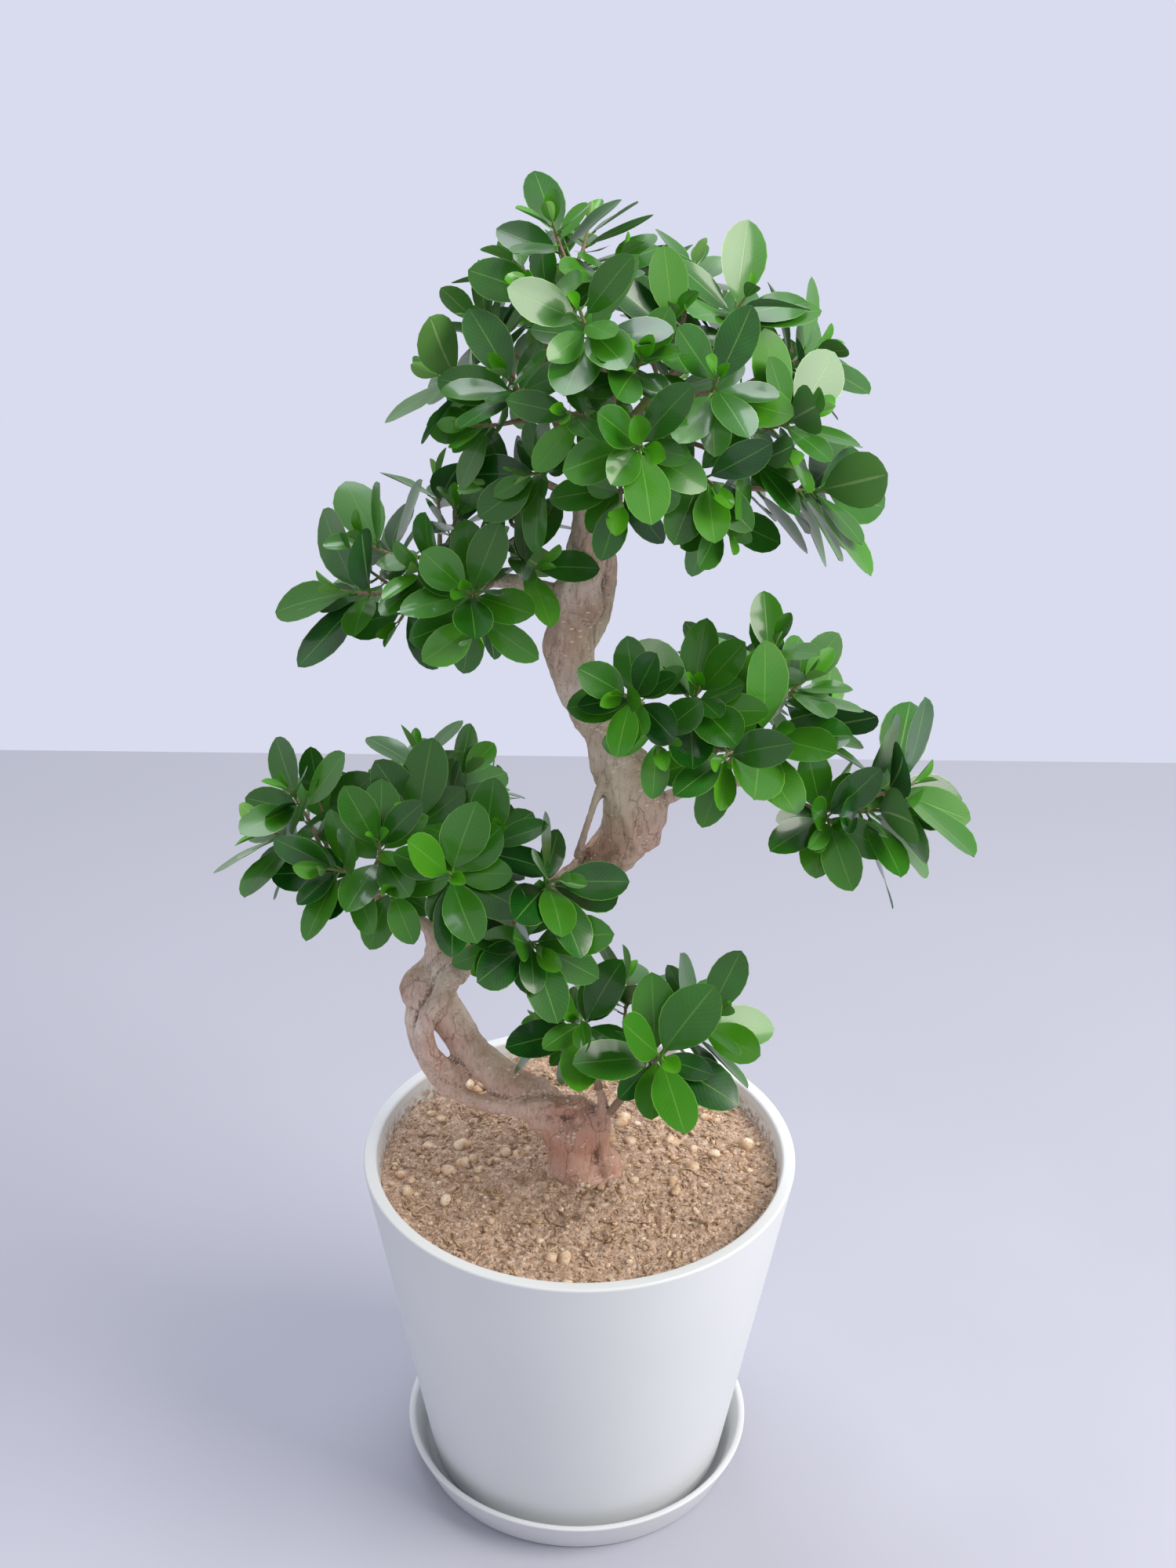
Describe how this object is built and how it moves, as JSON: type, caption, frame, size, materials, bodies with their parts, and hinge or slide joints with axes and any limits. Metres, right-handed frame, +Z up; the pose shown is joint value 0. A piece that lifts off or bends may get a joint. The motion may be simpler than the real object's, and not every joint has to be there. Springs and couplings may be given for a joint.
{
  "type": "ficus bonsai tree in a pot with a saucer",
  "caption": "S-curved indoor ficus bonsai with glossy leaf pads, growing in a tapered round pot that stands on a saucer.",
  "frame": {"origin": "middle of the saucer's underside, on the pot's axis, at floor level", "axes": "+Z up along the pot's axis, -Y towards the side the tree is viewed from, +X to the viewer's right"},
  "size_m": [0.4796, 0.3, 0.9222],
  "materials": {
    "saucer_plastic": "matte",
    "pot_plastic": "matte",
    "potting_soil": "matte",
    "bark": "matte",
    "leaf": "satin"
  },
  "bodies": {
    "root": {"saucer": "saucer_plastic", "pot": "pot_plastic", "soil": "potting_soil", "trunk": "bark", "crown_peak": "leaf", "crown_left": "leaf", "crown_front": "leaf", "crown_low_left": "leaf", "crown_right": "leaf", "crown_low_right": "leaf", "crown_top_right": "leaf", "crown_back_left": "leaf", "crown_back_right": "leaf", "upper_left_tip": "leaf", "upper_left_high": "leaf", "upper_left_front": "leaf", "upper_left_inner": "leaf", "right_inner": "leaf", "right_middle": "leaf", "right_back": "leaf", "right_tip": "leaf", "lower_left_outer": "leaf", "lower_left_front": "leaf", "lower_left_top": "leaf", "lower_left_middle": "leaf", "lower_left_back": "leaf", "knee_shoot": "leaf", "hanging_shoot": "leaf", "low_left": "leaf", "low_right": "leaf"}
  },
  "joints": []
}
